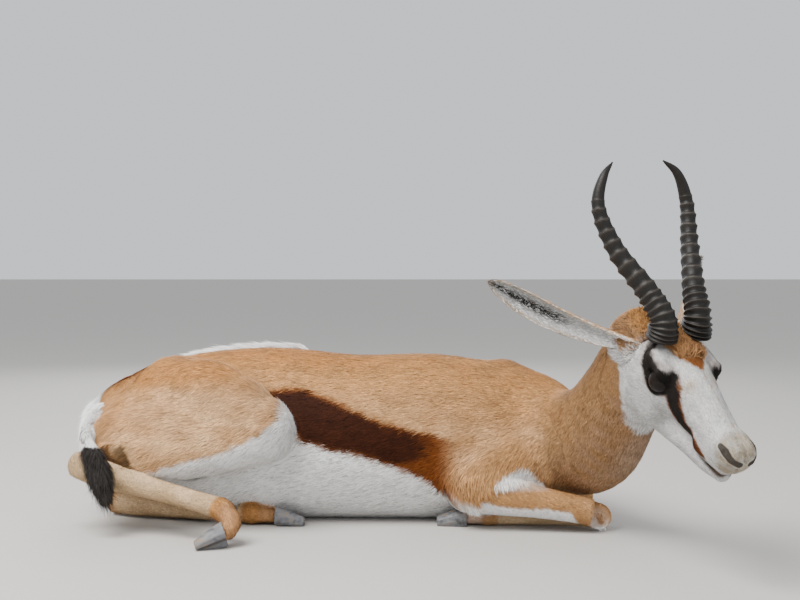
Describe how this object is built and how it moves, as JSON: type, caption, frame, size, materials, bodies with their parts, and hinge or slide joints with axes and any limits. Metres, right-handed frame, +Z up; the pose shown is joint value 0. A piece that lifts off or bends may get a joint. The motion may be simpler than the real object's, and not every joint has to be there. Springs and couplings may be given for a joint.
{
  "type": "springbok figure",
  "caption": "Life-size springbok ram lying on its belly with folded legs, raised neck, head turned to its right and lyre-shaped ringed horns.",
  "frame": {"origin": "centre of the flat on which the belly rests on the floor", "axes": "+X from rump to chest, +Y to the animal's left flank, +Z up"},
  "size_m": [0.966, 0.6824, 0.554],
  "materials": {
    "coat": "short flat fur: fawn back and flanks, dark side stripe, white belly, face and rump",
    "horn": "dull ringed keratin, smoother at the tips",
    "hoof": "worn grey keratin",
    "eye": "wet dark glass"
  },
  "bodies": {
    "root": {"ear_right": "coat", "ear_left": "coat", "tail_tuft": "coat", "tail": "coat", "pastern_hind_right": "coat", "cannon_hind_right": "coat", "shank_hind_right": "coat", "pastern_hind_left": "coat", "cannon_hind_left": "coat", "shank_hind_left": "coat", "pastern_fore_right": "coat", "cannon_fore_right": "coat", "forearm_right": "coat", "pastern_fore_left": "coat", "cannon_fore_left": "coat", "forearm_left": "coat", "head": "coat", "neck": "coat", "upper_arm_right": "coat", "upper_arm_left": "coat", "thigh_right": "coat", "thigh_left": "coat", "trunk": "coat", "horn_right": "horn", "horn_left": "horn", "eye_right": "eye", "eye_left": "eye", "hoof_fore_right_inner": "hoof", "hoof_fore_right_outer": "hoof", "hoof_fore_left_inner": "hoof", "hoof_fore_left_outer": "hoof", "hoof_hind_right_inner": "hoof", "hoof_hind_right_outer": "hoof", "hoof_hind_left_inner": "hoof", "hoof_hind_left_outer": "hoof"}
  },
  "joints": []
}
